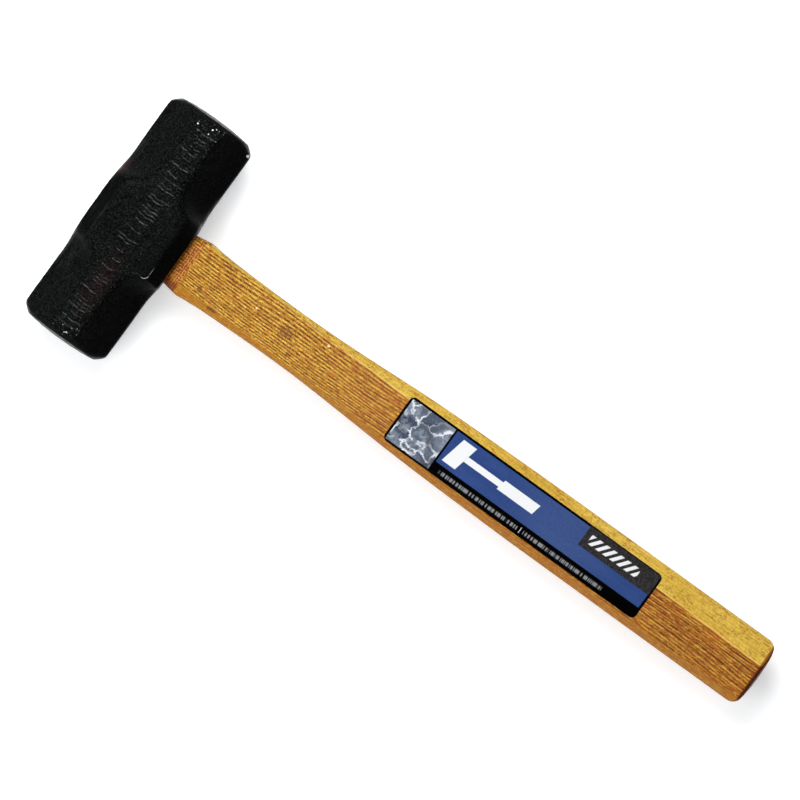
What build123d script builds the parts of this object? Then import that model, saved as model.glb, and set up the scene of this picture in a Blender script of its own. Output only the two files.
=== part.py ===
from build123d import *
import os
from math import cos, radians, sin, sqrt

# Lump hammer: a forged steel head with octagonal ends, wedged on a faceted hickory handle.
# Millimetres.  The origin is on the lower cheek face, straight below the centre of the eye.
# +X runs along the handle to the grip, +Y along the head from face to face, and +Z is up,
# towards the side of the handle that carries the label.

# ---------------------------------------------------------------- driving dimensions
OVERALL_LENGTH = 406.4  # top of the head to the end of the grip, 16 in

# Head: a central block, and octagonal ends that run out into it
HEAD_LENGTH = 134.5  # striking face to striking face
BLOCK_DEPTH = 51.0  # along the handle
BLOCK_THICKNESS = 49.0  # cheek to cheek
BLOCK_LENGTH = 37.4  # along the head, between the run-outs
BLOCK_CHAMFER = 7.2
END_DEPTH = 49.0
END_THICKNESS = 47.0
END_FLAT = 13.5  # width of the flats in line with the cheeks
RUN_OUT = 11.5  # length of each run-out along the head
CROWN_RADIUS = 150.0  # of the striking faces
FACE_RADIUS = 20.0  # where the crown meets the rim
RIM_BEVEL = (2.4, 2.9)  # axial and radial size of the rim's bevel
RIM_ROUND = (5.1, 3.0)  # axial and radial size of the rounding outside it

# Eye: rounded rectangles (length along the head, thickness, corner radius)
EYE_TOP = (31.0, 23.0, 6.5)
EYE_WAIST = (27.2, 19.2, 5.5)
EYE_MOUTH = (28.7, 21.0, 6.0)
WAIST_X = 4.0

# Handle
COLLAR_LENGTH = 12.5  # cone from the eye's mouth out to past the shoulder
COLLAR_END = (32.7, 28.1, 5.0)
ARRIS_RADIUS = 1.3
BUTT_HEIGHT = 36.9
BUTT_THICKNESS = 27.5
BUTT_CROWN = 80.0
BUTT_ROUND_HEIGHT = 5.5  # corner radius seen from the labelled side
BUTT_ROUND_THICKNESS = 3.0  # corner radius seen from above the handle
# Half height of the shaft at even steps from the eye's mouth to the butt
SHAFT_HALF_HEIGHTS = (17.6, 14.35, 13.9, 14.25, 15.65, 17.05, 17.7, 18.1, 18.25, 18.3, 18.35, 18.4, 18.4)
SHAFT_THICKNESS_SHARE = 0.755  # thickness as a share of height
# The shaft's facets, each at the eye's mouth and at the butt
UPPER_ARRIS = (13.6, 4.9)  # height of the broad flats' upper edge
LOWER_ARRIS = (-9.6, -14.4)  # height of the broad flats' lower edge
UPPER_EDGE_FLAT = (19.4, 10.8)  # width of the narrow flat along the top
LOWER_EDGE_FLAT = (14.8, 19.0)  # width of the narrow flat along the bottom

# Wedges, driven in from the top of the head
TOP_RECESS = 0.3  # tenon and wedges stop this far below the head's top face
WOOD_WEDGE_DEPTH = 36.0
WOOD_WEDGE_TOP = 5.0
WOOD_WEDGE_TIP = 1.2
KERF_DEPTH = 42.0
STEEL_WEDGE_DEPTH = 22.0
STEEL_WEDGE_WIDTH = 18.0
STEEL_WEDGE_TOP = 3.2
STEEL_WEDGE_TIP = 0.6
STEEL_WEDGE_OFFSET = 7.5  # either side of the eye's centre
BARBS = 3
BARB_STEP = 0.25

# Label, wrapped over the upper arris of the broad flat
LABEL_LENGTH = 153.9
LABEL_HEIGHT = 26.2
LABEL_CENTRE = (236.3, -0.2)
LABEL_CORNER = 2.7
LABEL_THICKNESS = 0.2

# ---------------------------------------------------------------- worked out from them
axis_z = BLOCK_THICKNESS / 2  # the head's axis and the handle's axis both lie at this height
top_x = -BLOCK_DEPTH / 2
mouth_x = BLOCK_DEPTH / 2
butt_x = OVERALL_LENGTH + top_x
tenon_top_x = top_x + TOP_RECESS
face_y = HEAD_LENGTH / 2
reach = 100.0  # longer than any cut through a section needs


def cross_section(x):
    """Plane across the handle at x: its first axis is +Y and its second is +Z."""
    return Plane(origin=(x, 0, axis_z), x_dir=(0, 1, 0), z_dir=(1, 0, 0))


plan = Plane(origin=(0, 0, axis_z), x_dir=(1, 0, 0), z_dir=(0, 0, 1))
side = Plane(origin=(0, 0, axis_z), x_dir=(1, 0, 0), z_dir=(0, -1, 0))
plan_start = plan.offset(-reach / 2)  # a cut of length reach from here passes right through
side_start = side.offset(-reach / 2)

# ---------------------------------------------------------------- eye
# The eye narrows to a waist, so that the spread tenon can't pull back through it.
with BuildPart() as eye:
    for x, eye_section in ((top_x, EYE_TOP), (WAIST_X, EYE_WAIST), (mouth_x, EYE_MOUTH)):
        length, thickness, corner = eye_section
        with BuildSketch(cross_section(x)):
            RectangleRounded(length, thickness, corner)
    loft(ruled=True)

# ---------------------------------------------------------------- head
end_bevel_distance = (END_FLAT + END_THICKNESS) / 2 / sqrt(2)
block_chamfer_distance = (BLOCK_DEPTH / 2 + BLOCK_THICKNESS / 2 - BLOCK_CHAMFER) / sqrt(2)
run_out_start = BLOCK_LENGTH / 2
run_out_end = run_out_start + RUN_OUT


def facet_distances(angle):
    """Distances from the head's axis to the block and to the end at one of the eight facets."""
    if angle % 90 == 45:
        return block_chamfer_distance, end_bevel_distance
    if angle % 180 == 0:
        return BLOCK_DEPTH / 2, END_DEPTH / 2
    return BLOCK_THICKNESS / 2, END_THICKNESS / 2


with BuildPart() as head:
    with BuildSketch(Plane(origin=(0, 0, axis_z), x_dir=(1, 0, 0), z_dir=(0, 1, 0))):
        Rectangle(BLOCK_DEPTH, BLOCK_THICKNESS)
        chamfer(vertices(), BLOCK_CHAMFER)
    extrude(amount=face_y)

    # each flat of the octagonal end is cut with a concave run-out into the block
    for angle in range(0, 360, 45):
        block_distance, end_distance = facet_distances(angle)
        facet_normal = (sin(radians(angle)), 0, -cos(radians(angle)))
        with BuildSketch(Plane(origin=(0, 0, axis_z), x_dir=(0, 1, 0), z_dir=facet_normal)):
            with BuildLine():
                Line((reach, end_distance), (run_out_end, end_distance))
                TangentArc((run_out_end, end_distance), (run_out_start, block_distance), tangent=(-1, 0))
                Line((run_out_start, block_distance), (run_out_start, reach))
                Line((run_out_start, reach), (reach, reach))
                Line((reach, reach), (reach, end_distance))
            make_face()
        extrude(amount=reach, both=True, mode=Mode.SUBTRACT)

    # the crowned striking face and its turned rim
    crown_drop = CROWN_RADIUS - sqrt(CROWN_RADIUS**2 - FACE_RADIUS**2)
    rim_start = (face_y - crown_drop, FACE_RADIUS)
    rim_middle = (rim_start[0] - RIM_BEVEL[0], rim_start[1] + RIM_BEVEL[1])
    rim_end = (rim_middle[0] - RIM_ROUND[0], rim_middle[1] + RIM_ROUND[1])
    with BuildSketch(Plane(origin=(0, 0, axis_z), x_dir=(0, 1, 0), z_dir=(1, 0, 0))):
        with BuildLine():
            Line((0, 0), (face_y, 0))
            TangentArc((face_y, 0), rim_start, tangent=(0, 1))
            Line(rim_start, rim_middle)
            TangentArc(rim_middle, rim_end, tangent=(-RIM_BEVEL[0], RIM_BEVEL[1]))
            Line(rim_end, (rim_end[0], reach))
            Line((rim_end[0], reach), (0, reach))
            Line((0, reach), (0, 0))
        make_face()
    revolve(axis=Axis((0, 0, axis_z), (0, 1, 0)), mode=Mode.INTERSECT)

    mirror(about=Plane.XZ)
    add(eye.part, mode=Mode.SUBTRACT)


# ---------------------------------------------------------------- handle
def shaft(skin):
    """Faceted shaft from the eye's mouth to the butt, made thicker all round by skin."""
    steps = len(SHAFT_HALF_HEIGHTS) - 1
    with BuildPart() as body:
        for step, half_height in enumerate(SHAFT_HALF_HEIGHTS):
            along = step / steps
            eased = 1 - (1 - along) ** 2
            upper = UPPER_ARRIS[0] + (UPPER_ARRIS[1] - UPPER_ARRIS[0]) * along
            lower = LOWER_ARRIS[0] + (LOWER_ARRIS[1] - LOWER_ARRIS[0]) * eased
            top_flat = (UPPER_EDGE_FLAT[0] + (UPPER_EDGE_FLAT[1] - UPPER_EDGE_FLAT[0]) * along) / 2
            bottom_flat = (LOWER_EDGE_FLAT[0] + (LOWER_EDGE_FLAT[1] - LOWER_EDGE_FLAT[0]) * along) / 2
            half_thickness = half_height * SHAFT_THICKNESS_SHARE
            with BuildSketch(cross_section(mouth_x + (butt_x - mouth_x) * along)):
                with BuildLine():
                    Polyline(
                        (half_height, top_flat),
                        (upper, half_thickness),
                        (lower, half_thickness),
                        (-half_height, bottom_flat),
                        (-half_height, -bottom_flat),
                        (lower, -half_thickness),
                        (upper, -half_thickness),
                        (half_height, -top_flat),
                        close=True,
                    )
                make_face()
                fillet(vertices(), ARRIS_RADIUS)
                if skin > 0:
                    offset(amount=skin)
        loft()
    return body.part


def butt_outline(plane, width, corner):
    """Outline from the head to the crowned butt, as wide as the butt."""
    half = width / 2
    crown_x = butt_x - BUTT_CROWN + sqrt(BUTT_CROWN**2 - half**2)
    with BuildSketch(plane) as outline:
        with BuildLine():
            Polyline((crown_x, half), (top_x, half), (top_x, -half), (crown_x, -half))
            ThreePointArc((crown_x, -half), (butt_x, 0), (crown_x, half))
        make_face()
        fillet(vertices().group_by(Axis.X)[-1], corner)
    return outline.sketch


butt_seen_flat = butt_outline(plan_start, BUTT_HEIGHT, BUTT_ROUND_HEIGHT)
butt_seen_edgewise = butt_outline(side_start, BUTT_THICKNESS, BUTT_ROUND_THICKNESS)

# what the collar's cone takes off the shaft next to the head
with BuildPart() as collar_waste:
    with BuildSketch(cross_section(mouth_x - COLLAR_LENGTH)):
        Rectangle(reach, reach)
    extrude(amount=2 * COLLAR_LENGTH)
    for x, collar_section in ((mouth_x, EYE_MOUTH), (mouth_x + COLLAR_LENGTH, COLLAR_END)):
        length, thickness, corner = collar_section
        with BuildSketch(cross_section(x)):
            RectangleRounded(length, thickness, corner)
    loft(ruled=True, mode=Mode.SUBTRACT)

# the eye's filling: tenon and wedges together
with BuildPart() as eye_filling:
    add(eye.part)
    split(bisect_by=cross_section(tenon_top_x), keep=Keep.TOP)

# ---------------------------------------------------------------- wedges
# The wooden wedge fills a taper sawn along the tenon, and a thin kerf goes on below its tip.
wood_tip_x = tenon_top_x + WOOD_WEDGE_DEPTH
kerf_end_x = tenon_top_x + KERF_DEPTH
with BuildSketch(side_start) as wood_taper:
    with BuildLine():
        Polyline(
            (tenon_top_x, WOOD_WEDGE_TOP / 2),
            (wood_tip_x, WOOD_WEDGE_TIP / 2),
            (wood_tip_x, -WOOD_WEDGE_TIP / 2),
            (tenon_top_x, -WOOD_WEDGE_TOP / 2),
            close=True,
        )
    make_face()
with BuildSketch(side_start) as kerf:
    with Locations(((wood_tip_x + kerf_end_x) / 2, 0)):
        Rectangle(kerf_end_x - wood_tip_x, WOOD_WEDGE_TIP)


def barbed_side(centre_y, direction):
    """Points down one face of a steel wedge, where each barb steps out and then tapers in."""
    points = []
    for barb in range(BARBS):
        for share, step_out in ((barb / BARBS, BARB_STEP), ((barb + 1) / BARBS, 0)):
            half = (STEEL_WEDGE_TOP + (STEEL_WEDGE_TIP - STEEL_WEDGE_TOP) * share) / 2 + step_out
            points.append((tenon_top_x + STEEL_WEDGE_DEPTH * share, centre_y + direction * half))
    return points


def steel_wedge(centre_y):
    """Barbed steel wedge driven across the wooden one, its thickness along the head."""
    outline = barbed_side(centre_y, 1) + barbed_side(centre_y, -1)[::-1]
    with BuildPart() as wedge:
        with BuildSketch(plan):
            with BuildLine():
                Polyline(*outline, close=True)
            make_face()
        extrude(amount=STEEL_WEDGE_WIDTH / 2, both=True)
    return wedge


steel_wedge_right = steel_wedge(STEEL_WEDGE_OFFSET)
steel_wedge_left = steel_wedge(-STEEL_WEDGE_OFFSET)
steel_wedges = (steel_wedge_right.part, steel_wedge_left.part)

with BuildPart() as wood_wedge:
    add(eye_filling.part)
    extrude(wood_taper.sketch, reach, mode=Mode.INTERSECT)
    add(steel_wedges, mode=Mode.SUBTRACT)

# ---------------------------------------------------------------- handle, in one piece
with BuildPart() as handle:
    add(shaft(0))
    for outline in (butt_seen_flat, butt_seen_edgewise):
        extrude(outline, reach, mode=Mode.INTERSECT)
    add(collar_waste.part, mode=Mode.SUBTRACT)
    add(eye_filling.part)
    for cut in (wood_taper.sketch, kerf.sketch):
        extrude(cut, reach, mode=Mode.SUBTRACT)
    add(steel_wedges, mode=Mode.SUBTRACT)

# ---------------------------------------------------------------- label
with BuildPart() as label:
    add(shaft(LABEL_THICKNESS))
    with BuildSketch(plan):
        with Locations(LABEL_CENTRE):
            RectangleRounded(LABEL_LENGTH, LABEL_HEIGHT, LABEL_CORNER)
    extrude(amount=reach, mode=Mode.INTERSECT)
    add(shaft(0), mode=Mode.SUBTRACT)

# ---------------------------------------------------------------- one file for each piece
pieces = {
    "head": head,
    "handle": handle,
    "wood_wedge": wood_wedge,
    "steel_wedge_left": steel_wedge_left,
    "steel_wedge_right": steel_wedge_right,
    "label": label,
}
os.makedirs("parts", exist_ok=True)
for name, piece in pieces.items():
    piece.part.label = name
    export_step(piece.part, f"parts/{name}.step")
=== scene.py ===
import itertools
import math

import bmesh
import bpy
import numpy as np
from mathutils import Matrix, Vector


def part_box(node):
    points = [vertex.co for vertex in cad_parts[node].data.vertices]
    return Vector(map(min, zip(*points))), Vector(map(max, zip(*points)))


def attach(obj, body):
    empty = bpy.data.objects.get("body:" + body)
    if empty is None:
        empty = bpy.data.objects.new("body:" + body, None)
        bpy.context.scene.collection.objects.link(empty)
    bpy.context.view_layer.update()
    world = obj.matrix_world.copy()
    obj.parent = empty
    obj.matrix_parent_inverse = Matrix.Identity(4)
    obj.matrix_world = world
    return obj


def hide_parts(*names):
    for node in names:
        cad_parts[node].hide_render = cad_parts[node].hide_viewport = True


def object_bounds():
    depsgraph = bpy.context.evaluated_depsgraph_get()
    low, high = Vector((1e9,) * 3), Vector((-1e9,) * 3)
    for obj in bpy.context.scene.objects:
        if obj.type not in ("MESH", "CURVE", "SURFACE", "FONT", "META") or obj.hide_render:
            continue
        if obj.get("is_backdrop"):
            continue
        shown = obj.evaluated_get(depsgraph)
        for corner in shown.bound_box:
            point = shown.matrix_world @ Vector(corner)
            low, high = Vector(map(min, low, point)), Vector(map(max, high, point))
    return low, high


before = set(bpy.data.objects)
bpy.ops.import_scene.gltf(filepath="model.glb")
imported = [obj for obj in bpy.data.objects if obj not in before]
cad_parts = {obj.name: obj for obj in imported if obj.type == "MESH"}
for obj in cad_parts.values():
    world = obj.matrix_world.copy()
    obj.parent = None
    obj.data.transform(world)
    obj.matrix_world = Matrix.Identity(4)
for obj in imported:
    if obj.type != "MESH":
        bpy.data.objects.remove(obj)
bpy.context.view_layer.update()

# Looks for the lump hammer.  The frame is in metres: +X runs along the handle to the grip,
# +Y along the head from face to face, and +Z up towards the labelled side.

MM = 0.001

head_low, head_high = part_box("head")
label_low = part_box("label")[0]

AXIS_Z = (head_low.z + head_high.z) / 2  # of the handle and of the head
MOUTH_X = head_high.x / MM  # where the handle leaves the head, in millimetres
FACE_Y = head_high.y / MM  # the striking face, in millimetres
BUTT_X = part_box("handle")[1].x / MM  # the handle's end, in millimetres

# Lengths below are in millimetres, apart from those of the floor, the lights and the camera.

# The head
VOXEL_HEAD = 0.62
ROUNDING_HEAD = 22  # smoothing steps, which round the forged edges
# height, cell and seed of each layer of unevenness in the forged skin
SKIN_LAYERS = ((0.14, 15, 1), (0.06, 5, 2), (0.045, 2.2, 3), (0.035, 1.3, 7))
FLASH_HALF_WIDTH = 6.2  # trimming ridges along the middle of both cheeks
RIDGE_GAPS = (1.9, 3.3, 5.2)
RIDGE_HEIGHT = 0.26
RIDGE_SHARPNESS = 0.45  # half width of a ridge
RIPPLE_PITCH = 1.6
RIPPLE_HEIGHT = 0.05
NICKS = 30
CORNER = (15.8, -16.0, 2.5)  # x, y and radius of the block's worn round corner
RIM_CHIPS = ((23.2, 61.2, 0.8), (-6.2, 59.8, 0.35), (1.2, 58.4, 0.3))  # x, y and radius

# The handle
VOXEL_HANDLE = 0.78
ROUNDING_HANDLE = 3
RING_PITCH = 1.5
WIDE_RING_PITCH = 3.0
COLLAR_END = MOUTH_X + 7.0
RASP_PITCH = (1.3, 1.5)  # rows and columns of rasp marks on the collar
SMUDGE = (90, 1.5, 2.6, 1.7)  # x, y, radius and stretch along the handle
STAINS = ((42.5, -6, 1.1, 1.2), (46, 5.3, 0.9, 1.0), (34, 15, 0.9, 1.0), (53, -11.3, 0.9, 3.5))
PALE_SPECKS = ((71, 2.6, 0.6), (111, 8.3, 0.8))  # x, y and radius

# The label's panels: left, right, bottom and top, from its lower left corner
PICTURE = (1.3, 27.4, 1.1, 25.0)
BLUE_PANEL = (28.5, 152.6, 6.3, 25.0)
BLACK_BOX = (109.8, 152.9, 14.2, 25.6)
STONES_PER_MM = 0.125


# ------------------------------------------------------------------ mesh tools
def lattice_noise(points, cell, seed):
    """Smooth noise from -1 to 1 at each point, from random values on a lattice of that cell size."""
    values = np.random.default_rng(seed).uniform(-1, 1, 8192)
    scaled = points / np.asarray(cell, float)
    base = np.floor(scaled).astype(np.int64)
    part = scaled - base
    part = part * part * (3 - 2 * part)
    total = np.zeros(len(points))
    for corner in itertools.product((0, 1), repeat=3):
        at = base + corner
        index = (at[:, 0] * 73856093) ^ (at[:, 1] * 19349663) ^ (at[:, 2] * 83492791)  # large primes
        weight = np.prod(np.where(corner, part, 1 - part), axis=1)
        total += values[index % len(values)] * weight
    return total


def smooth_step(value, low, high):
    """0 below low, 1 above high, and a smooth rise between them."""
    t = np.clip((value - low) / (high - low), 0, 1)
    return t * t * (3 - 2 * t)


def mesh_points(mesh):
    co = np.empty(len(mesh.vertices) * 3)
    mesh.vertices.foreach_get("co", co)
    return co.reshape(-1, 3)


def from_axis(points):
    """The points in millimetres from the head's and handle's axis."""
    return (points - np.array([0, 0, AXIS_Z])) / MM


def mesh_normals(mesh):
    normal = np.empty(len(mesh.vertices) * 3, np.float32)
    mesh.vertex_normals.foreach_get("vector", normal)
    return normal.reshape(-1, 3).astype(float)


def set_points(mesh, points):
    mesh.vertices.foreach_set("co", points.astype(np.float32).ravel())
    mesh.update()


def set_attribute(mesh, name, values):
    """One number per vertex, for materials to read by that name."""
    layer = mesh.attributes.new(name, "FLOAT", "POINT")
    layer.data.foreach_set("value", values.astype(np.float32))


def relaxed(mesh, points, share, steps):
    """The points after steps moves, each by that share of the way to the middle of their neighbours."""
    ends = np.empty(len(mesh.edges) * 2, np.int32)
    mesh.edges.foreach_get("vertices", ends)
    first, second = ends.reshape(-1, 2).T
    count = np.bincount(ends, minlength=len(points))[:, None]
    for _ in range(steps):
        total = np.empty_like(points)
        for axis in range(3):
            total[:, axis] = np.bincount(first, points[second, axis], len(points))
            total[:, axis] += np.bincount(second, points[first, axis], len(points))
        points = points + share[:, None] * (total / count - points)
    return points


def even_copy(node, name, voxel, smoothing):
    """An even dense mesh over a CAD node's surface, its edges rounded by some smoothing steps."""
    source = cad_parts[node]
    welded = bmesh.new()
    welded.from_mesh(source.data)
    bmesh.ops.remove_doubles(welded, verts=welded.verts, dist=1e-3 * MM)
    mesh = bpy.data.meshes.new(name)
    welded.to_mesh(mesh)
    welded.free()
    piece = bpy.data.objects.new(name, mesh)
    bpy.context.scene.collection.objects.link(piece)
    even = piece.modifiers.new("even", "REMESH")
    even.mode = "VOXEL"
    even.voxel_size = voxel * MM
    snap = piece.modifiers.new("snap", "SHRINKWRAP")
    snap.target = source
    snap.wrap_method = "NEAREST_SURFACEPOINT"
    rounding = piece.modifiers.new("rounding", "SMOOTH")
    rounding.factor = 0.5
    rounding.iterations = smoothing
    bpy.context.view_layer.update()
    evaluated = piece.evaluated_get(bpy.context.evaluated_depsgraph_get())
    dense = bpy.data.meshes.new_from_object(evaluated)
    piece.modifiers.clear()
    piece.data = dense
    dense.name = name
    dense.materials.clear()
    dense.shade_smooth()
    return piece


def finish_piece(piece, node, material):
    """The piece stands for its CAD node, rides with the hammer and gets its material."""
    piece.data.materials.append(material)
    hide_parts(node)
    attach(piece, "root")


# ------------------------------------------------------------------ node tools
class Shader:
    """One material's node tree, with short ways to add nodes to it.  Colours are linear."""

    def __init__(self, name):
        self.material = bpy.data.materials.new(name)
        self.material.use_nodes = True
        self.tree = self.material.node_tree
        self.surface = self.tree.nodes["Principled BSDF"]
        metres = self.tree.nodes.new("ShaderNodeTexCoord").outputs["Object"]
        self.place = self.vector("MULTIPLY", metres, (1 / MM, 1 / MM, 1 / MM))
        split = self.node("ShaderNodeSeparateXYZ", {"Vector": self.place})
        self.x, self.y, self.z = split.outputs
        geometry = self.node("ShaderNodeNewGeometry", {})
        normal = self.node("ShaderNodeSeparateXYZ", {"Vector": geometry.outputs["Normal"]})
        self.normal_x, self.normal_y, self.normal_z = normal.outputs
        self.pointiness = geometry.outputs["Pointiness"]

    def node(self, kind, inputs, **settings):
        made = self.tree.nodes.new(kind)
        for key, value in settings.items():
            setattr(made, key, value)
        for key, value in inputs.items():
            self.plug(made.inputs[key], value)
        return made

    def plug(self, socket, value):
        if isinstance(value, bpy.types.NodeSocket):
            self.tree.links.new(value, socket)
        elif isinstance(value, tuple) and len(value) == 3 and socket.type == "RGBA":
            socket.default_value = (*value, 1)
        else:
            socket.default_value = value

    def math(self, operation, a, b=0.0):
        return self.node("ShaderNodeMath", {0: a, 1: b}, operation=operation).outputs[0]

    def vector(self, operation, a, b):
        return self.node("ShaderNodeVectorMath", {0: a, 1: b}, operation=operation).outputs[0]

    def attribute(self, name):
        return self.node("ShaderNodeAttribute", {}, attribute_name=name).outputs["Fac"]

    def squares(self, a, b):
        """The sum of the squares of a and b."""
        return self.math("ADD", self.math("MULTIPLY", a, a), self.math("MULTIPLY", b, b))

    def rise(self, value, low, high, to_low=0.0, to_high=1.0):
        """to_low where value is below low, to_high above high, and smooth between them."""
        made = self.node(
            "ShaderNodeMapRange",
            {"Value": value, "From Min": low, "From Max": high, "To Min": to_low, "To Max": to_high},
            interpolation_type="SMOOTHSTEP",
        )
        return made.outputs["Result"]

    def band(self, value, low, high, soft=0.12):
        """1 where value lies between low and high, with soft edges."""
        off = self.math("ABSOLUTE", self.math("SUBTRACT", value, (low + high) / 2))
        half = (high - low) / 2
        return self.rise(off, half - soft, half + soft, 1.0, 0.0)

    def repeat(self, value, pitch):
        """0 to 1 again and again, once in each pitch of value."""
        return self.math("FRACT", self.math("DIVIDE", value, pitch))

    def all_of(self, *masks):
        product = masks[0]
        for mask in masks[1:]:
            product = self.math("MULTIPLY", product, mask)
        return product

    def any_of(self, *masks):
        largest = masks[0]
        for mask in masks[1:]:
            largest = self.math("MAXIMUM", largest, mask)
        return largest

    def mix_value(self, share, a, b):
        """Between the numbers a and b, by the Mix node's first set of sockets."""
        return self.node("ShaderNodeMix", {0: share, 2: a, 3: b}, data_type="FLOAT").outputs[0]

    def mix(self, share, a, b):
        """Between the colours a and b, by the Mix node's sockets for colours."""
        return self.node("ShaderNodeMix", {0: share, 6: a, 7: b}, data_type="RGBA").outputs[2]

    def noise(self, size, detail=2.0, roughness=0.5):
        """Noise from about 0 to 1, whose blobs are size millimetres across: one number or one per axis."""
        sizes = size if isinstance(size, tuple) else (size, size, size)
        scaled = self.vector("MULTIPLY", self.place, tuple(1 / s for s in sizes))
        inputs = {"Vector": scaled, "Scale": 1.0, "Detail": detail, "Roughness": roughness}
        return self.node("ShaderNodeTexNoise", inputs).outputs[0]

    def patches(self, size, low, high, detail=2.0, roughness=0.5):
        """1 inside the blobs of a noise and 0 between them, with edges where it goes from low to high."""
        return self.rise(self.noise(size, detail, roughness), low, high)

    def spot(self, x, y, radius, stretch=1.0):
        """1 inside a ragged round spot on the labelled side, stretched along x."""
        off_x = self.math("DIVIDE", self.math("SUBTRACT", self.x, x), radius * stretch)
        off_y = self.math("DIVIDE", self.math("SUBTRACT", self.y, y), radius)
        rough = self.rise(self.noise(0.9, 2, 0.6), 0.3, 0.7, -0.5, 0.5)
        far = self.math("ADD", self.squares(off_x, off_y), rough)
        return self.all_of(self.rise(far, 0.5, 1.3, 1.0, 0.0), self.rise(self.normal_z, 0.1, 0.3))

    def spots(self, places):
        return self.any_of(*(self.spot(*place) for place in places))

    def bump(self, height, depth, under=None):
        """Bump whose height of 1 stands depth millimetres proud, on top of another bump."""
        inputs = {"Height": height, "Strength": 1.0, "Distance": depth * MM}
        if under is not None:
            inputs["Normal"] = under
        return self.node("ShaderNodeBump", inputs).outputs[0]

    def set(self, **inputs):
        """Sets inputs of the surface by their names in lower case, with _ for a space."""
        sockets = {socket.name.lower().replace(" ", "_"): socket for socket in self.surface.inputs}
        for key, value in inputs.items():
            self.plug(sockets[key], value)


# ------------------------------------------------------------------ head
def forge(piece):
    """Forging marks on the head's mesh: uneven skin, trimming ridges across the cheeks, and nicks."""
    mesh = piece.data
    points = mesh_points(mesh)

    # the run-outs blend softly into the block, except at the crisp corners by the handle on one side
    x, y = from_axis(points).T[:2]
    run_outs = smooth_step(np.abs(y), 11, 15) * smooth_step(40 - np.abs(y), 0, 8)
    crisp = smooth_step(x, 6, 12) * smooth_step(-y, 0, 5)
    points = relaxed(mesh, points, 0.5 * run_outs * (1 - crisp), 80)
    set_points(mesh, points)

    normals = mesh_normals(mesh)
    mm = from_axis(points)
    x, y = mm.T[:2]
    height = np.zeros(len(mm))
    for tall, cell, seed in SKIN_LAYERS:
        height += tall * lattice_noise(mm, cell, seed)

    # trimming ridges cross the middle of both cheeks, where the forging flash was cut off
    on_cheek = smooth_step(np.abs(normals[:, 2]), 0.8, 0.95)
    bowed = y + 0.5 * lattice_noise(mm * (1, 0, 0), 3.5, 5) + 0.03 * x
    rng = np.random.default_rng(6)
    nearest = np.full(len(mm), 9.0)
    crests = np.zeros(len(mm))
    ridge_y = -FACE_Y + 8
    while ridge_y < FACE_Y - 8:
        reach = rng.uniform(0.4, 1.0) * FLASH_HALF_WIDTH
        middle = rng.uniform(-0.3, 0.2) * FLASH_HALF_WIDTH
        tall = rng.uniform(0.35, 1.0)
        off = np.abs(bowed - ridge_y)
        crest = tall * on_cheek * smooth_step(reach - np.abs(x - middle), 0, 1.0)
        height += RIDGE_HEIGHT * crest * np.exp(-((off / RIDGE_SHARPNESS) ** 2))
        crests = np.where(off < nearest, crest, crests)
        nearest = np.minimum(off, nearest)
        ridge_y += rng.choice(RIDGE_GAPS)
    ripple_patch = smooth_step(lattice_noise(mm * (1, 1, 0), 14, 8), -0.2, 0.4)
    ripple = np.sin(bowed * 2 * math.pi / RIPPLE_PITCH) * smooth_step(13 - np.abs(x), 0, 4)
    height += RIPPLE_HEIGHT * on_cheek * ripple_patch * ripple

    # nicks on the rims
    for _ in range(NICKS):
        side = rng.choice((-1, 1))
        centre = np.array([rng.uniform(-24, 24), side * rng.uniform(60, 66), rng.uniform(-23, 23)])
        centre[2] = rng.choice((-1, 1)) * 23 if abs(centre[0]) < 7 else centre[2]
        far = np.linalg.norm(mm - centre, axis=1)
        height -= rng.uniform(0.1, 0.3) * np.exp(-((far / rng.uniform(0.7, 1.6)) ** 2))

    # the cheek that touches the floor keeps to its plane
    height = np.where(normals[:, 2] < -0.9, np.minimum(height, 0), height)
    set_points(mesh, points + normals * (height * MM)[:, None])
    set_attribute(mesh, "ridge_strength", crests)
    set_attribute(mesh, "ridge_distance", nearest)


def worn_corner(s):
    """One corner of the block is worn to a bright curved line beside the handle."""
    x, y, radius = CORNER
    along = s.math("SUBTRACT", s.x, x)
    down = s.math("SUBTRACT", s.y, y)
    far = s.math("SQRT", s.squares(along, down))
    bend = s.band(far, radius, radius + 0.24, 0.15)
    bend = s.all_of(bend, s.rise(along, -0.6, 0.6), s.rise(down, 0.3, -0.3))
    straight = s.all_of(s.band(along, radius, radius + 0.2, 0.15), s.band(down, 0, 4, 2.0), 0.5)
    return s.all_of(s.any_of(bend, straight), s.rise(s.normal_z, 0.4, 0.6), s.patches(1.2, 0.3, 0.45, 1))


def bare_metal(s, out):
    """Chips in the paint near the rims and wear on the sharpest edges, out from the head's middle."""
    rims = s.band(out, FACE_Y - 10, FACE_Y - 3, 1.0)
    chips = s.all_of(s.patches(1.15, 0.76, 0.79, 0), rims, s.band(s.x, -5.5, 6.5, 2.0))
    edge_wear = s.all_of(s.rise(s.pointiness, 0.55, 0.60), s.patches(4, 0.60, 0.66))
    return s.any_of(chips, edge_wear, worn_corner(s), s.spots(RIM_CHIPS))


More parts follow.
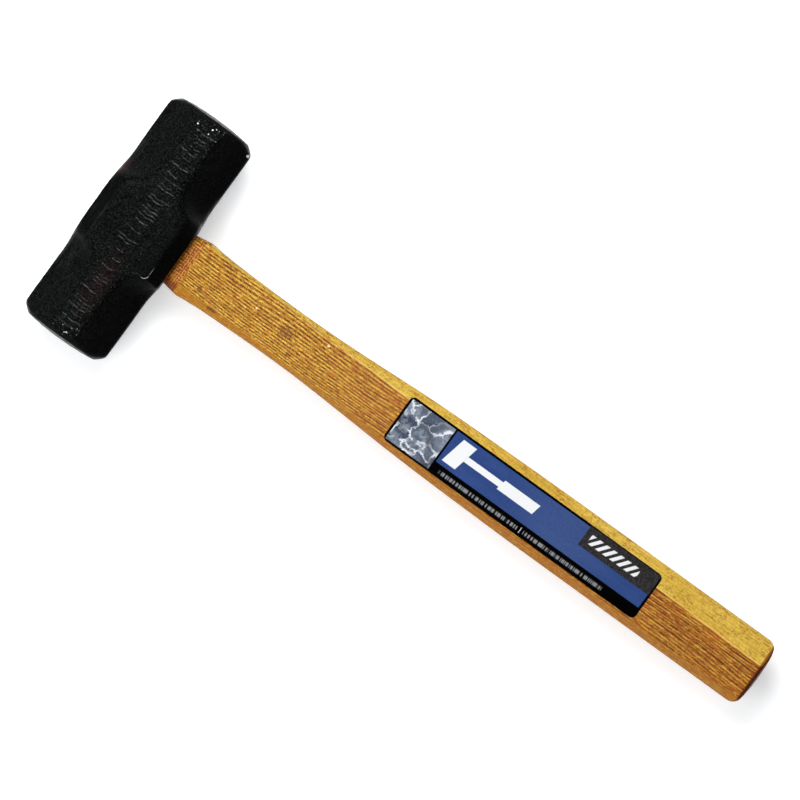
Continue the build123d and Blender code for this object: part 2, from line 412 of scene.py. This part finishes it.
def head_paint():
    """Black paint over an as-forged skin, with painted sparkle on its bumps, painted highlights on its ridges
    where the paint is also rubbed thin, painted shade on the faces towards +X, a rust tinge and bare glints.
    """
    deep_black = (0.0004, 0.0005, 0.0005)
    soft_black = (0.0020, 0.0024, 0.0023)
    # painted shade for the faces towards +X
    painted_shade_black = (0.0004, 0.0004, 0.0004)
    # grey of the painted sparkle and sheen on the bumps, grain and streaks
    painted_sheen = (0.050, 0.057, 0.055)
    # painted highlight on the ridge crests, where the paint is also rubbed thin
    ridge_highlight_and_wear = (0.095, 0.105, 0.10)
    rust_tinge = (0.026, 0.0085, 0.0085)
    bare_steel = (0.46, 0.45, 0.42)

    s = Shader("head_paint")
    up = s.math("ABSOLUTE", s.normal_z)
    out = s.math("ABSOLUTE", s.y)
    colour = s.mix(s.patches(1.6, 0.35, 0.75, 4, 0.65), deep_black, soft_black)
    # painted shade: the faces towards +X, turned away from the light, are darkened
    colour = s.mix(s.rise(s.normal_x, 0.3, 0.6, 0.0, 0.7), colour, painted_shade_black)

    # painted sparkle: the small bumps, mostly of the cheeks, are lightened as if they caught the light
    bumps = s.all_of(s.patches(0.9, 0.52, 0.74, 2, 0.7), s.band(s.x, -21, 14, 6.0), s.rise(up, 0.5, 0.68))
    on_cheek = s.rise(s.rise(up, 0.75, 0.93), 0.0, 1.0, 0.22, 0.55)
    colour = s.mix(s.all_of(bumps, on_cheek, s.rise(out, 12, 20, 0.50, 0.9)), colour, painted_sheen)

    # painted sparkle in a fine grain all over, stronger on the faces towards -X, which face the light, and
    # weakest on the block's chamfer at the top of the head
    block_side = s.all_of(s.rise(s.x, -18.5, -20.5), s.rise(out, 20, 13))
    grain = s.all_of(s.patches(0.8, 0.48, 0.66, 1), s.rise(s.normal_x, -0.6, 0.6, 0.135, 0.04))
    grain = s.math("MULTIPLY", grain, s.rise(block_side, 0.0, 1.0, 1.0, 0.25))
    colour = s.mix(grain, colour, painted_sheen)

    # thin bright lines along the trimming ridges: painted highlights on their crests, where the paint is also
    # rubbed thin
    broken = s.patches(1.0, 0.34, 0.50)
    on_line = s.rise(s.attribute("ridge_distance"), 0.10, 0.42, 1.0, 0.0)
    colour = s.mix(s.all_of(s.attribute("ridge_strength"), on_line, broken, 0.75), colour, ridge_highlight_and_wear)

    # painted sheen in streaks along the head, on the bevels at its top, which face the light
    streaks = s.all_of(s.patches((1.1, 14, 14), 0.50, 0.72, 3, 0.6), s.rise(block_side, 0.0, 1.0, 1.0, 0.5))
    streaks = s.all_of(streaks, s.rise(s.x, -14, -20), s.rise(up, 0.3, 0.6), 0.15)
    colour = s.mix(streaks, colour, painted_sheen)

    # rust on the ridges of one end, and on one shoulder of the block
    shoulder = s.all_of(s.rise(s.x, -21, -24), s.band(s.y, 17, 25, 2.5), s.rise(s.normal_z, 0.1, 0.3), 0.8)
    tinge = s.all_of(s.band(s.y, -48, -17, 9.0), s.band(s.x, -4, 5, 4.0), s.patches(24, 0.3, 0.5))
    tinge = s.all_of(tinge, s.patches(3.0, 0.30, 0.60, 3), 0.26)
    colour = s.mix(s.any_of(tinge, shoulder), colour, rust_tinge)

    bare = bare_metal(s, out)
    skin = s.bump(s.noise(0.5, 2, 0.6), 0.05)
    skin = s.bump(s.noise(1.3, 3, 0.6), 0.14, skin)
    s.set(
        base_color=s.mix(bare, colour, bare_steel),
        metallic=s.math("MULTIPLY", bare, 0.5),
        roughness=s.rise(s.noise(3.0, 3), 0.3, 0.7, 0.34, 0.50),
        specular_ior_level=s.mix_value(bare, s.rise(up, 0.0, 0.30, 0.14, 0.014), 0.5),
        normal=skin,
    )
    return s.material


# ------------------------------------------------------------------ handle
def shape_wood(piece):
    """Slight unevenness of the facets, raised grain, rasp marks on the collar and a rough butt."""
    mesh = piece.data
    points = mesh_points(mesh)
    normals = mesh_normals(mesh)
    mm = from_axis(points)
    x = mm[:, 0]
    height = 0.10 * lattice_noise(mm, (45, 14, 14), 11)
    height += 0.025 * lattice_noise(mm, (18, 1.1, 1.1), 12)
    on_collar = smooth_step(MOUTH_X + 9 - x, 0, 1.5)
    height += 0.04 * lattice_noise(mm, (0.9, 5, 5), 13) * on_collar
    end_grain = smooth_step(np.abs(normals[:, 0]), 0.5, 0.8)
    height += 0.05 * lattice_noise(mm, 1.6, 14) * end_grain
    on_shaft = smooth_step(x, MOUTH_X + 0.5, MOUTH_X + 3)
    set_points(mesh, points + normals * (height * on_shaft * MM)[:, None])


def hickory_pores(s, rings, wide_rings, grip):
    """Dark dashes in the porous part of each growth ring, longer towards the grip."""
    short_pores = s.all_of(s.band(rings, 0.0, 0.52, 0.12), s.patches((2.6, 0.9, 0.9), 0.41, 0.50, 2, 0.65))
    long_pores = s.all_of(s.band(wide_rings, 0.08, 0.38, 0.07), s.patches((12, 1, 1), 0.41, 0.50, 3, 0.6))
    fine_pores = s.patches((0.9, 0.5, 0.5), 0.50, 0.62, 1)
    at_neck = s.any_of(short_pores, s.math("MULTIPLY", fine_pores, 0.6))
    fewer_short = s.math("MULTIPLY", short_pores, 0.65)
    at_grip = s.any_of(long_pores, fewer_short, s.math("MULTIPLY", fine_pores, 0.35))
    return s.math("ADD", at_neck, s.all_of(grip, s.math("SUBTRACT", at_grip, at_neck)))


def hickory_base(s, streak, grip, upper_bevel, lower_bevel):
    """The wood between its pores: flats browner towards the grip, and a painted sheen that makes the upper
    bevel, which faces the light, paler and yellower.
    """
    broad = s.patches((45, 14, 14), 0.3, 0.7)
    flat = s.mix(s.rise(streak, 0.3, 0.7), (0.385, 0.162, 0.011), (0.505, 0.258, 0.022))
    grip_flat = s.mix(broad, (0.245, 0.052, 0.0045), (0.34, 0.086, 0.008))
    flat = s.mix(s.math("MULTIPLY", grip, 0.9), flat, grip_flat)
    # painted sheen: the upper bevel is paler and yellower than the flats, as if lit
    bevel = s.mix(broad, (0.54, 0.365, 0.043), (0.61, 0.435, 0.064))
    grip_bevel = s.mix(broad, (0.60, 0.40, 0.052), (0.68, 0.49, 0.082))
    colour = s.mix(upper_bevel, flat, s.mix(grip, bevel, grip_bevel))
    return s.mix(s.math("MULTIPLY", lower_bevel, 0.8), colour, (0.40, 0.145, 0.007))


def collar_marks(s, colour):
    """The rasped collar drinks more of the stain, in a grid of dots."""
    orange = (0.56, 0.25, 0.028)
    dot_red = (0.16, 0.020, 0.002)
    underside_red = (0.16, 0.032, 0.006)
    collar = s.rise(s.x, COLLAR_END + 0.4, COLLAR_END - 0.4)
    colour = s.mix(s.math("MULTIPLY", collar, 0.5), colour, orange)
    rows = s.math("SINE", s.math("MULTIPLY", s.x, 2 * math.pi / RASP_PITCH[0]))
    columns = s.math("SINE", s.math("MULTIPLY", s.y, 2 * math.pi / RASP_PITCH[1]))
    grid = s.math("MULTIPLY", s.math("ADD", rows, columns), 0.07)
    dots = s.rise(s.math("ADD", grid, s.noise((0.9, 1.1, 1.1), 2, 0.7)), 0.40, 0.58, 0.10, 0.95)
    colour = s.mix(s.math("MULTIPLY", dots, collar), colour, dot_red)
    return s.mix(s.all_of(collar, s.rise(s.y, -9.5, -12.5), 0.7), colour, underside_red)


def hickory():
    """Lacquered hickory: growth rings and pores as a solid pattern, with a painted sheen that makes the upper
    bevel paler and a painted highlight along its arris.
    """
    late_wood = (0.76, 0.49, 0.07)
    reddish_wood = (0.44, 0.10, 0.006)
    warm_wood = (0.46, 0.13, 0.010)
    yellow_wood = (0.62, 0.42, 0.030)
    pore_brown = (0.048, 0.006, 0.001)
    tick_brown = (0.21, 0.062, 0.006)
    fleck_brown = (0.20, 0.060, 0.008)
    stain_brown = (0.12, 0.034, 0.008)
    arris_highlight = (0.80, 0.56, 0.12)
    speck_cream = (0.85, 0.70, 0.38)
    band_red = (0.16, 0.022, 0.003)
    edge_brown = (0.030, 0.005, 0.002)

    s = Shader("hickory")
    waver = s.math("MULTIPLY", s.noise((130, 30, 30), 2), 12.0)
    across = s.math("ADD", s.math("ADD", s.y, s.math("MULTIPLY", s.z, 0.35)), waver)
    rings = s.repeat(across, RING_PITCH)
    streak = s.noise((60, 3.0, 3.0), 2)
    grip = s.rise(s.x, 90, 175)
    dark = hickory_pores(s, rings, s.repeat(across, WIDE_RING_PITCH), grip)

    upper_bevel = s.all_of(s.rise(s.normal_y, 0.22, 0.42), s.rise(s.normal_y, 0.80, 0.95, 1.0, 0.25))
    lower_bevel = s.rise(s.normal_y, -0.3, -0.6)
    on_bevel = s.any_of(upper_bevel, lower_bevel)
    contrast = s.math("SUBTRACT", 1.0, s.math("MULTIPLY", on_bevel, 0.75))
    colour = hickory_base(s, streak, grip, upper_bevel, lower_bevel)

    # pale late wood, reddish streaks and pores
    light = s.all_of(s.band(rings, 0.58, 0.96, 0.12), s.patches((4, 0.9, 0.9), 0.42, 0.54))
    colour = s.mix(s.all_of(light, contrast, s.rise(grip, 0.0, 1.0, 1.0, 0.58)), colour, late_wood)
    reddish = s.all_of(s.patches((5.0, 1.3, 1.3), 0.45, 0.62, 3, 0.7), contrast, 0.40)
    colour = s.mix(reddish, colour, reddish_wood)
    clusters = s.rise(s.noise((30, 5, 5), 2), 0.35, 0.55, 0.75, 1.0)
    colour = s.mix(s.all_of(dark, contrast, s.mix_value(grip, 1.0, clusters), 0.98), colour, pore_brown)

    # brown ticks on the upper bevel, and a mottle and cross flecks everywhere
    ticks = s.all_of(s.patches((2.0, 0.75, 0.75), 0.50, 0.60, 2, 0.6), s.patches(7, 0.36, 0.56))
    ticks = s.all_of(ticks, upper_bevel, s.rise(grip, 0.0, 1.0, 0.95, 0.65))
    colour = s.mix(ticks, colour, tick_brown)
    warm = s.patches((3.0, 1.0, 1.0), 0.38, 0.62, 3, 0.7)
    colour = s.mix(s.math("MULTIPLY", warm, 0.12), colour, warm_wood)
    colour = s.mix(s.rise(warm, 0.0, 0.4, 0.30, 0.0), colour, yellow_wood)
    flecks = s.rise(s.noise((0.9, 2.0, 2.0), 3, 0.75), 0.40, 0.64, 0.0, 0.30)
    colour = s.mix(flecks, colour, fleck_brown)

    # a painted highlight along the upper arris, and the collar is stained
    arris = s.all_of(s.band(s.normal_y, 0.14, 0.40, 0.08), s.rise(s.normal_z, 0.5, 0.8))
    colour = s.mix(s.all_of(arris, s.rise(s.x, 60, 180), 0.55), colour, arris_highlight)
    colour = collar_marks(s, colour)

    # a reddish band and then a dark edge at the butt, and growth rings on its end grain
    colour = s.mix(s.rise(s.x, BUTT_X - 3.4, BUTT_X - 2.5, 0.0, 0.85), colour, band_red)
    end_grain = s.rise(s.math("ABSOLUTE", s.normal_x), 0.30, 0.65)
    butt_edge = s.rise(s.x, BUTT_X - 2.3, BUTT_X - 1.2)
    stained = s.rise(s.noise(2.2, 3, 0.6), 0.3, 0.7, 0.65, 0.97)
    stained = s.math("MULTIPLY", stained, s.any_of(end_grain, butt_edge))
    end_rings = s.mix(s.band(rings, 0.0, 0.52, 0.12), (0.190, 0.078, 0.024), (0.085, 0.026, 0.008))
    stain = s.mix(s.rise(s.normal_x, 0.82, 0.96), edge_brown, end_rings)
    colour = s.mix(stained, colour, stain)

    # small knots, stains and pale specks on the neck
    knots = s.all_of(s.patches((5, 2.6, 2.6), 0.70, 0.76, 1), s.band(s.x, 35, 140, 20))
    smudge = s.all_of(s.spot(*SMUDGE), s.patches(1.5, 0.36, 0.56, 3, 0.7))
    stains = s.any_of(knots, smudge, s.spots(STAINS))
    colour = s.mix(s.math("MULTIPLY", stains, 0.78), colour, stain_brown)
    colour = s.mix(s.math("MULTIPLY", s.spots(PALE_SPECKS), 0.7), colour, speck_cream)

    s.set(
        base_color=colour,
        roughness=s.rise(streak, 0.2, 0.8, 0.36, 0.46),
        specular_ior_level=s.rise(stained, 0.0, 0.8, 0.16, 0.03),
        coat_weight=s.rise(stained, 0.0, 0.8, 0.05, 0.0),
        coat_roughness=0.15,
        normal=s.bump(s.math("SUBTRACT", 1.0, dark), 0.10),
    )
    return s.material


# ------------------------------------------------------------------ wedges
def wedge_wood():
    """Dry pale poplar, its end grain dirty at the top of the eye."""
    s = Shader("wedge_wood")
    fibres = s.noise((12, 0.5, 0.5), 3)
    colour = s.mix(fibres, (0.36, 0.20, 0.085), (0.62, 0.42, 0.22))
    top = s.rise(s.normal_x, -0.6, -0.3, 1.0, 0.0)
    dirt = s.math("MULTIPLY", top, s.rise(s.noise(1.4, 3), 0.35, 0.7, 0.2, 0.75))
    s.set(
        base_color=s.mix(dirt, colour, (0.12, 0.06, 0.028)),
        roughness=0.72,
        normal=s.bump(fibres, 0.06),
    )
    return s.material


def wedge_steel():
    """Bare mild steel, scuffed by the hammer that drove it and lightly rusted."""
    s = Shader("wedge_steel")
    scuffs = s.noise((0.5, 4, 0.5), 3)
    colour = s.mix(scuffs, (0.15, 0.145, 0.14), (0.36, 0.35, 0.335))
    rust = s.patches(1.8, 0.52, 0.68, 4, 0.65)
    s.set(
        base_color=s.mix(s.math("MULTIPLY", rust, 0.8), colour, (0.17, 0.06, 0.022)),
        metallic=s.rise(rust, 0.2, 0.9, 1.0, 0.25),
        roughness=s.rise(rust, 0.0, 1.0, 0.34, 0.75),
        normal=s.bump(s.noise(0.9, 3), 0.08),
    )
    return s.material


# ------------------------------------------------------------------ label
def stonework(s):
    """Irregular stones with pale mortar between them."""
    wavy = {"Vector": s.place, "Scale": 0.16, "Detail": 4.0, "Roughness": 0.6}
    bent = s.node("ShaderNodeTexNoise", wavy).outputs["Color"]
    warped = s.vector("ADD", s.place, s.vector("MULTIPLY", bent, (9.0, 9.0, 0.0)))
    cells = {"Vector": warped, "Scale": STONES_PER_MM, "Randomness": 1.0}
    joints = s.node("ShaderNodeTexVoronoi", cells, feature="DISTANCE_TO_EDGE")
    stones = s.node("ShaderNodeTexVoronoi", cells, feature="F1")
    tone = s.node("ShaderNodeSeparateColor", {"Color": stones.outputs["Color"]}).outputs[0]
    colour = s.mix(tone, (0.030, 0.042, 0.070), (0.150, 0.180, 0.240))
    colour = s.mix(s.rise(s.noise(4, 4, 0.7), 0.42, 0.68, 0.0, 0.8), colour, (0.26, 0.29, 0.34))
    mortar = s.rise(joints.outputs["Distance"], 0.015, 0.075, 1.0, 0.0)
    mortar = s.math("MULTIPLY", mortar, s.rise(s.noise(5, 2), 0.40, 0.58, 0.10, 1.0))
    colour = s.mix(mortar, colour, (0.58, 0.61, 0.65))
    return s.mix(s.all_of(s.patches(8, 0.48, 0.64), 0.6), colour, (0.010, 0.012, 0.020))


def label_print():
    """Printed vinyl: a picture of stonework, a blue panel and plain signs in place of lettering."""
    black = (0.0006, 0.0006, 0.0006)
    white = (0.62, 0.63, 0.64)
    print_grey = (0.36, 0.37, 0.39)

    s = Shader("label_print")
    u = s.math("SUBTRACT", s.x, label_low.x / MM)
    v = s.math("SUBTRACT", s.y, label_low.y / MM)

    def panel(left, right, bottom, top):
        return s.all_of(s.band(u, left, right), s.band(v, bottom, top))

    def leaning(share):
        return s.math("SUBTRACT", u, s.math("MULTIPLY", v, share))

    speckle = s.patches(1.1, 0.35, 0.65, 3, 0.7)
    glow = s.all_of(s.band(u, 78, 122, 22), s.band(v, 0, 30, 6))
    blue = s.mix(s.patches((30, 8, 8), 0.3, 0.7), (0.022, 0.047, 0.160), (0.029, 0.059, 0.190))
    blue = s.mix(s.math("MULTIPLY", glow, 0.6), blue, (0.045, 0.077, 0.195))
    blue = s.mix(s.math("MULTIPLY", speckle, 0.25), blue, (0.012, 0.024, 0.085))
    box = s.mix(speckle, (0.012, 0.011, 0.011), (0.034, 0.032, 0.032))

    colour = s.mix(panel(*PICTURE), black, stonework(s))
    colour = s.mix(panel(*BLUE_PANEL), colour, blue)
    colour = s.mix(panel(*BLACK_BOX), colour, box)

    # a plain sign of a hammer, in place of the maker's word
    lean = leaning(0.22)
    sign_head = s.all_of(s.band(lean, 28.5, 36.5), s.band(v, 8.6, 23.2))
    sign_neck = s.all_of(s.band(lean, 36.5, 62.0), s.band(v, 14.3, 17.5))
    sign_grip = s.all_of(s.band(lean, 58.0, 79.5), s.band(v, 13.0, 18.8))
    colour = s.mix(s.any_of(sign_head, sign_neck, sign_grip), colour, white)

    # slanted stripes in the black box
    stripe = s.band(s.repeat(leaning(0.8), 4.3), 0.2, 0.72, 0.03)
    colour = s.mix(s.all_of(stripe, s.band(u, 113.0, 142.8), s.band(v, 17.4, 22.4)), colour, white)

    # a line of dashes with a divider, in place of the small print
    dash = s.patches((0.9, 400, 400), 0.44, 0.52, 0)
    lengths = s.any_of(s.band(u, 32.4, 80.5), s.band(u, 84.2, 132.9))
    small_print = s.all_of(dash, s.band(v, 2.1, 3.9, 0.4), lengths)
    colour = s.mix(s.math("MULTIPLY", small_print, 0.5), colour, print_grey)
    divider = s.all_of(s.band(u, 82.1, 82.6), s.band(v, 1.5, 4.6))
    colour = s.mix(s.math("MULTIPLY", divider, 0.6), colour, white)

    s.set(
        base_color=colour,
        roughness=s.rise(s.noise((14, 5, 5), 3), 0.3, 0.7, 0.24, 0.32),
        specular_ior_level=0.012,
        normal=s.bump(s.noise((9, 3, 3), 3), 0.03),
    )
    return s.material


# ------------------------------------------------------------------ stage
def pale_floor():
    """Pale floor that looks evenly white away from the hammer, whatever light falls there."""
    s = Shader("pale_floor")
    tone = s.mix(s.noise(240, 2), (0.70, 0.70, 0.70), (0.74, 0.74, 0.74))
    away = s.math("SQRT", s.squares(s.x, s.y))
    seen = s.node("ShaderNodeLightPath", {}).outputs["Is Camera Ray"]
    glow = s.rise(s.math("MULTIPLY", away, seen), 500, 1300, 0.48, 1.0)
    s.set(base_color=tone, roughness=0.9, emission_color=(0.96, 1.0, 1.03), emission_strength=glow)
    return s.material


def build_floor(lowest):
    """A square floor that lies just under the hammer's lowest point."""
    half = 4.0
    gap = 0.02 * MM
    mesh = bpy.data.meshes.new("floor")
    corners = [(-half, -half, 0), (half, -half, 0), (half, half, 0), (-half, half, 0)]
    mesh.from_pydata(corners, [], [(0, 1, 2, 3)])
    mesh.materials.append(pale_floor())
    floor = bpy.data.objects.new("floor", mesh)
    floor.location.z = lowest - gap
    bpy.context.scene.collection.objects.link(floor)
    floor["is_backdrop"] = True


def soft_box(name, towards, distance, size, power, aim):
    """Square area light that shines on aim from the direction towards."""
    data = bpy.data.lights.new(name, "AREA")
    data.shape = "SQUARE"
    data.size = size
    data.energy = power
    light = bpy.data.objects.new(name, data)
    direction = Vector(towards).normalized()
    light.location = aim + direction * distance
    light.rotation_euler = direction.to_track_quat("Z", "Y").to_euler()
    bpy.context.scene.collection.objects.link(light)


def build_world(light_strength):
    """White all round: dim as a light, and bright where the camera sees it."""
    world = bpy.data.worlds.new("studio")
    world.use_nodes = True
    nodes, links = world.node_tree.nodes, world.node_tree.links
    nodes["Background"].inputs["Color"].default_value = (1, 1, 1, 1)
    strength = nodes.new("ShaderNodeMapRange")
    strength.inputs["To Min"].default_value = light_strength
    strength.inputs["To Max"].default_value = 1.0
    links.new(nodes.new("ShaderNodeLightPath").outputs["Is Camera Ray"], strength.inputs["Value"])
    links.new(strength.outputs["Result"], nodes["Background"].inputs["Strength"])
    bpy.context.scene.world = world


def build_lights(aim):
    """Three soft boxes above the hammer: their distances and sizes in metres, their powers in watts."""
    soft_box("key", (-0.45, 0.45, 1.0), distance=1.6, size=1.0, power=31, aim=aim)
    soft_box("fill", (-0.35, -0.60, 1.0), distance=1.8, size=1.4, power=24, aim=aim)
    soft_box("edge", (0.95, 0.1, 0.75), distance=2.0, size=1.0, power=3, aim=aim)
    build_world(0.05)


def build_camera():
    """Camera straight above the labelled side, rolled so that the handle runs down to the right."""
    roll = math.radians(35.86)
    height = 6.64
    middle = Vector((155.5 * MM, 7.3 * MM, AXIS_Z))
    right = Vector((math.cos(roll), math.sin(roll), 0))
    up = Vector((-math.sin(roll), math.cos(roll), 0))
    turn = Matrix((right, up, Vector((0, 0, 1)))).transposed()
    data = bpy.data.cameras.new("camera")
    data.lens = 600
    data.sensor_width = 36
    camera = bpy.data.objects.new("camera", data)
    camera.matrix_world = Matrix.Translation(middle + Vector((0, 0, height))) @ turn.to_4x4()
    bpy.context.scene.collection.objects.link(camera)
    bpy.context.scene.camera = camera
    return middle


# ------------------------------------------------------------------ the hammer
head = even_copy("head", "forged_head", VOXEL_HEAD, ROUNDING_HEAD)
forge(head)
finish_piece(head, "head", head_paint())

handle = even_copy("handle", "hickory_handle", VOXEL_HANDLE, ROUNDING_HANDLE)
shape_wood(handle)
finish_piece(handle, "handle", hickory())

cad_materials = {
    "wood_wedge": wedge_wood(),
    "steel_wedge_left": wedge_steel(),
    "label": label_print(),
}
cad_materials["steel_wedge_right"] = cad_materials["steel_wedge_left"]
for node_name, material in cad_materials.items():
    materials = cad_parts[node_name].data.materials
    materials.clear()
    materials.append(material)

build_floor(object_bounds()[0].z)
build_lights(build_camera())
bpy.context.scene.view_settings.view_transform = "Standard"
